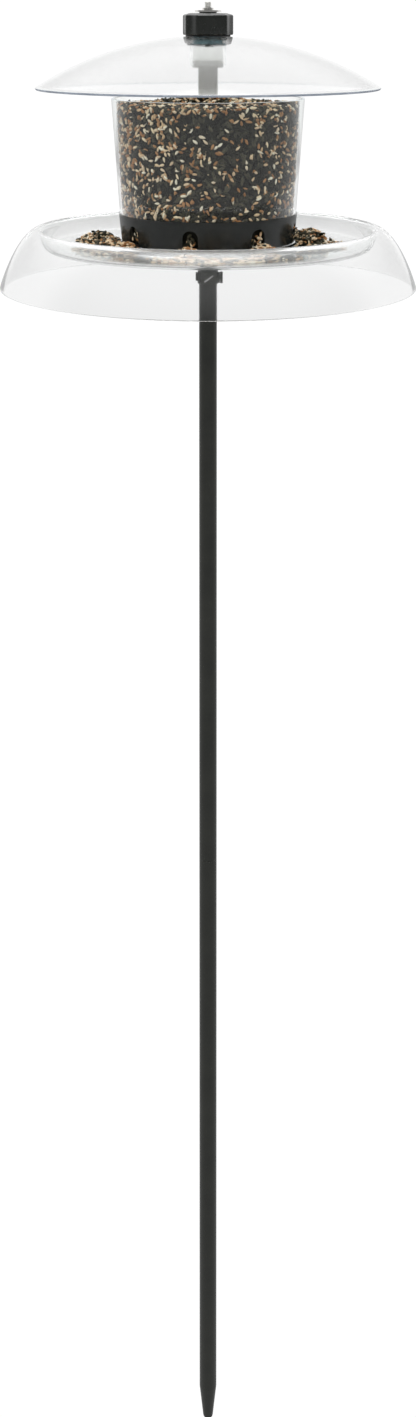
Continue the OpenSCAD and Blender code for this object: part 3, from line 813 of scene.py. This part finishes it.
def add_light(name, place, power):
    """A large soft lamp that is neither mirrored nor seen through clear plastic."""
    light = bpy.data.lights.new(name, "AREA")
    light.size = LAMP_SIZE
    light.energy = power
    lamp = bpy.data.objects.new(name, light)
    lamp.location = place
    lamp.rotation_mode = "QUATERNION"
    lamp.rotation_quaternion = (Vector(LAMP_AIM) - Vector(place)).to_track_quat("-Z", "Y")
    lamp.visible_glossy = lamp.visible_transmission = False
    bpy.context.scene.collection.objects.link(lamp)


def by_ray(add, soft, mirrored):
    """Brightness of the surroundings by kind of ray: white if seen, else as mirrored, or soft."""
    path = add("ShaderNodeLightPath").outputs
    deep = maths(add, "GREATER_THAN", path["Ray Depth"], DEEP)
    reflected = maths(add, "GREATER_THAN", path["Glossy Depth"], 0.5)
    through = maths(add, "SUBTRACT", path["Is Transmission Ray"], reflected)
    seen = maths(add, "MAXIMUM", maths(add, "MAXIMUM", path["Is Camera Ray"], through), deep)
    unseen = add("ShaderNodeMix", {"Factor": path["Is Glossy Ray"], "A": soft, "B": mirrored}).outputs[0]
    return add("ShaderNodeMix", {"Factor": seen, "A": unseen, "B": SEEN_WHITE}).outputs[0]


def studio_mirror(add):
    """What glossy surfaces mirror: a white sweep behind, a box overhead and a soft strip on each side."""
    way = add("ShaderNodeTexCoord").outputs["Generated"]
    place = add("ShaderNodeSeparateXYZ", {0: way}).outputs
    sweep = smooth_step(add, place["Y"], -0.25, 0.35, DIM_FRONT, BRIGHT_BACK)
    dome = smooth_step(add, place["Z"], 0.2, 0.7, 0.0, 0.6)
    overhead = smooth_step(add, place["Z"], 0.89, 0.98, 0.0, 4.5)
    total = maths(add, "ADD", maths(add, "ADD", sweep, dome), overhead)
    height = maths(add, "ABSOLUTE", maths(add, "ADD", place["Z"], 0.05))
    low = smooth_step(add, height, 0.09, 0.15, 1.0, 0.0)
    first = maths(add, "LESS_THAN", add("ShaderNodeLightPath").outputs["Ray Depth"], FIRST_WALL)
    low = maths(add, "MULTIPLY", low, first)  # the strips are low, and mirrored by the first surface only
    level = vector_maths(add, "NORMALIZE", vector_maths(add, "MULTIPLY", way, (1, 1, 0))[0])[0]
    for angle, bright in STRIPS:
        along = vector_maths(add, "DOT_PRODUCT", level, tuple(outward(math.radians(angle))))["Value"]
        strip = smooth_step(add, along, 0.955, 0.99, 0.0, bright)
        total = maths(add, "ADD", total, maths(add, "MULTIPLY", strip, low))
    return total


def make_world():
    """Surroundings whose brightness goes by kind of ray."""
    world = bpy.data.worlds.new("studio")
    bpy.context.scene.world = world
    world.use_nodes = True
    world.cycles.sampling_method = "NONE"
    add = adder(world.node_tree)
    height = add("ShaderNodeSeparateXYZ", {0: add("ShaderNodeTexCoord").outputs["Generated"]}).outputs["Z"]
    soft = spread(add, height, SOFT_LEVEL, SOFT_TOP)
    back = world.node_tree.nodes["Background"]
    world.node_tree.links.new(by_ray(add, soft, studio_mirror(add)), back.inputs["Strength"])
    back.inputs["Color"].default_value = (1, 1, 1, 1)


def make_floor():
    """Wide pale floor that glows like the background, just under the pole's tip."""
    bpy.ops.mesh.primitive_plane_add(size=60, location=(0, 0, -0.0005))
    floor = bpy.context.object
    floor.name = "floor"
    mat = bpy.data.materials.new("pale_floor")
    mat.use_nodes = True
    add = adder(mat.node_tree)
    strength = by_ray(add, FLOOR_BOUNCE, FLOOR_MIRRORED)
    glow = add("ShaderNodeEmission", {"Color": (1, 1, 1, 1), "Strength": strength})
    mat.node_tree.links.new(glow.outputs[0], mat.node_tree.nodes["Material Output"].inputs["Surface"])
    floor.data.materials.append(mat)


def make_stage():
    """World, floor, lamps, and enough bounces for the clear shells."""
    make_world()
    make_floor()
    for name, place, power in LAMPS:
        add_light(name, place, power)
    bpy.context.scene.view_settings.view_transform = "Standard"
    for limit in ("max_bounces", "glossy_bounces", "transmission_bounces", "transparent_max_bounces"):
        setattr(bpy.context.scene.cycles, limit, BOUNCES)


def make_camera():
    """Level with the top of the feeder, looking slightly down, with the frame shifted down the pole."""
    distance, over_deck, tilt = 1.65, 0.2154, math.radians(6.1)
    camera = bpy.data.objects.new("camera", bpy.data.cameras.new("camera"))
    camera.data.lens = 45.7
    camera.data.shift_y = -0.36
    camera.location = (0, -distance, DECK_Z + over_deck)
    camera.rotation_euler = (math.pi / 2 - tilt, 0, 0)
    bpy.context.scene.collection.objects.link(camera)
    bpy.context.scene.camera = camera


make_stage()
make_camera()
